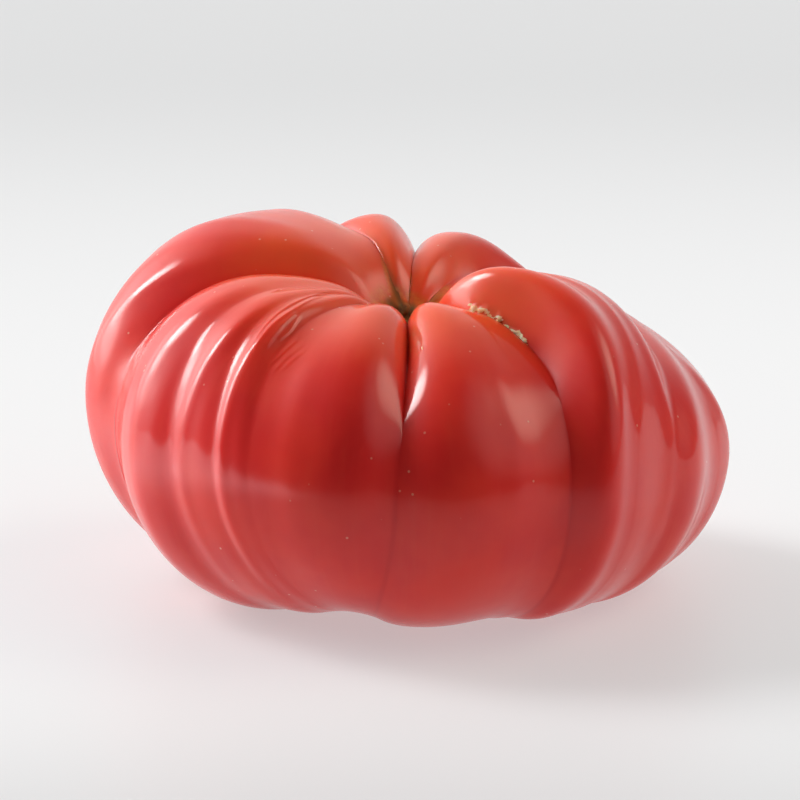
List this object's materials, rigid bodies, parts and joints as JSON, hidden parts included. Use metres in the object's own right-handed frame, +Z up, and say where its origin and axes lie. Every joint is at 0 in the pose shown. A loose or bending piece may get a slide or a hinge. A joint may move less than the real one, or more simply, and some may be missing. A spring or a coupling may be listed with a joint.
{
  "type": "tomato",
  "caption": "Large ribbed beefsteak tomato, whole, as picked, with deep folds running from the stem cavity to the underside.",
  "frame": {"origin": "under the middle of the fruit's bounding box, on the surface that it rests on", "axes": "+Z up from the surface towards the stem end, +X along the fruit's greatest width, -Y towards the front, where the two deepest folds meet the stem cavity"},
  "size_m": [0.1234, 0.1004, 0.0674],
  "materials": {
    "tomato_skin": "waxy, glossy pinkish red skin, more orange on the crowns near the stem, deeper red in the folds, with tan corky scars"
  },
  "bodies": {
    "root": {"tomato": "tomato_skin"}
  },
  "joints": []
}
